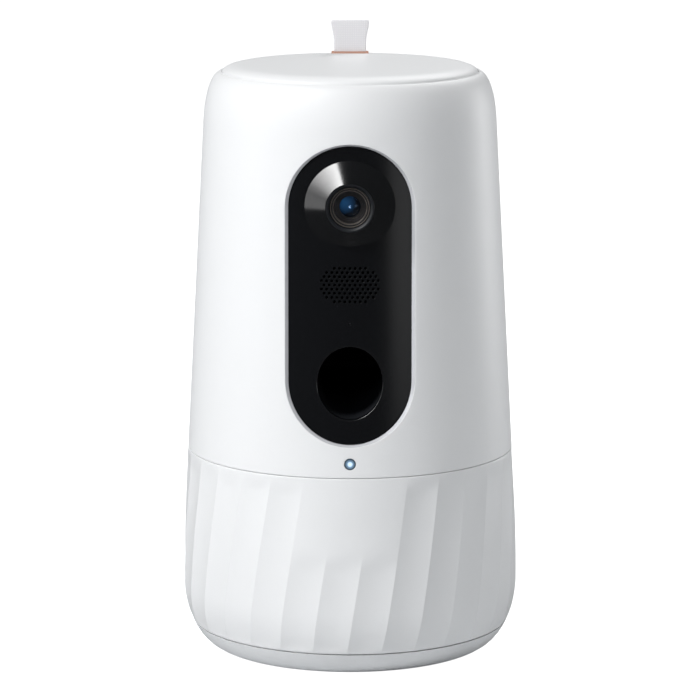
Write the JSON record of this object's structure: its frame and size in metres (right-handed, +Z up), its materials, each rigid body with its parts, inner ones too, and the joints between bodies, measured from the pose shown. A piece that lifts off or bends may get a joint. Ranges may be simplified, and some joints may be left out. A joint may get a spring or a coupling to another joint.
{
  "type": "treat tossing pet camera",
  "caption": "Tapered round pet camera that pans on a low base, with a lift-off lid, a treat hopper, dosing wheel, throwing rotor and a black front panel.",
  "frame": {"origin": "centre of the round footprint, on the surface the part rests on", "axes": "+Z up, the camera and treat outlet face -Y, +X to the right seen from the front"},
  "size_m": [0.1458, 0.1462, 0.2681],
  "materials": {
    "white_shell": "satin, finely textured moulded plastic",
    "black_panel": "satin black moulded plastic",
    "black_bezel": "polished black plastic",
    "lens_black": "matt black anodised look",
    "lens_glass": "coated glass",
    "status_ring": "tinted translucent plastic",
    "status_light": "clear light pipe",
    "hopper_plastic": "smooth food-safe plastic",
    "duct_plastic": "plain moulded black plastic",
    "inner_plastic": "plain moulded plastic",
    "rotor_plastic": "plain moulded plastic",
    "wheel_plastic": "plain moulded plastic",
    "acetal": "machined-smooth acetal",
    "rubber": "matt rubber",
    "silicone": "translucent white silicone",
    "steel": "bright zinc-plated steel",
    "brass": "turned brass",
    "motor_metal": "drawn steel can",
    "board": "solder-masked glass fibre board",
    "components": "moulded component bodies",
    "tab_fabric": "woven tape",
    "tab_edge": "woven tape, terracotta"
  },
  "bodies": {
    "base": {"base_shell": "white_shell", "rubber_feet": "rubber", "ring_gear": "acetal", "ring_gear_screws": "steel", "slide_ring": "acetal", "power_inlet": "components", "hub_retainer": "steel", "hub_screws": "steel"},
    "head": {"turntable": "inner_plastic", "turntable_bush": "brass", "turntable_screws": "steel", "pan_motor": "motor_metal", "main_board": "board", "board_parts": "components", "skirt": "white_shell", "skirt_ring": "white_shell", "mid_deck": "inner_plastic", "deck_screws": "steel", "upper_housing": "white_shell", "panel_frame": "white_shell", "front_panel": "black_panel", "lens_bezel": "black_bezel", "lens_barrel": "lens_black", "lens_glass": "lens_glass", "camera_board": "board", "speaker": "components", "microphone": "steel", "status_ring": "status_ring", "status_light_pipe": "status_light", "status_board": "board", "button_board": "board", "launch_housing": "duct_plastic", "outlet_duct": "duct_plastic", "drop_chute": "duct_plastic", "launch_cover": "duct_plastic", "rotor_bushes": "brass", "gear_plate": "inner_plastic", "throw_motor": "motor_metal", "dosing_floor": "inner_plastic", "dosing_cup": "inner_plastic", "dosing_motor": "motor_metal", "hopper": "hopper_plastic"},
    "thrower": {"throw_rotor": "rotor_plastic", "throw_shaft": "steel", "throw_gear": "acetal"},
    "throw_drive": {"throw_pinion": "brass"},
    "doser": {"dosing_wheel": "wheel_plastic", "dosing_gear": "acetal"},
    "dosing_drive": {"dosing_pinion": "brass"},
    "pan_drive": {"pan_pinion": "brass"},
    "button": {"setup_button": "white_shell"},
    "lid": {"lid_cap": "white_shell", "lid_plug": "hopper_plastic", "lid_gasket": "silicone", "pull_tab": "tab_fabric", "tab_root": "tab_edge"}
  },
  "joints": [
    {"name": "pan", "type": "hinge", "parent": "base", "child": "head", "pos_m": [0, 0, 0.011], "axis": [0, 0, 1], "range_deg": [-135, 135]},
    {"name": "pan_pinion_spin", "type": "hinge", "parent": "head", "child": "pan_drive", "pos_m": [0, -0.0315, 0.006], "axis": [0, 0, 1], "range_deg": [-540, 540]},
    {"name": "lid_lift", "type": "slide", "parent": "head", "child": "lid", "axis": [0, 0, 1], "range_m": [0, 0.06]},
    {"name": "dosing_spin", "type": "hinge", "parent": "head", "child": "doser", "pos_m": [0, 0.012, 0.1653], "axis": [0, 0, 1], "continuous": true},
    {"name": "dosing_pinion_spin", "type": "hinge", "parent": "head", "child": "dosing_drive", "pos_m": [-0.034, 0.012, 0.1653], "axis": [0, 0, 1], "continuous": true},
    {"name": "throw_spin", "type": "hinge", "parent": "head", "child": "thrower", "pos_m": [0, 0.013, 0.1361], "axis": [1, 0, 0], "continuous": true},
    {"name": "throw_pinion_spin", "type": "hinge", "parent": "head", "child": "throw_drive", "pos_m": [0.0195, 0.013, 0.1101], "axis": [1, 0, 0], "continuous": true},
    {"name": "setup_button_press", "type": "slide", "parent": "head", "child": "button", "axis": [0, -1, 0], "range_m": [0, 0.0006], "stiffness_N_per_m": 1500}
  ],
  "couplings": [
    {"joint": "pan_pinion_spin", "follows": "pan", "ratio": -4},
    {"joint": "dosing_pinion_spin", "follows": "dosing_spin", "ratio": -4.6667},
    {"joint": "throw_pinion_spin", "follows": "throw_spin", "ratio": -3.3333}
  ]
}
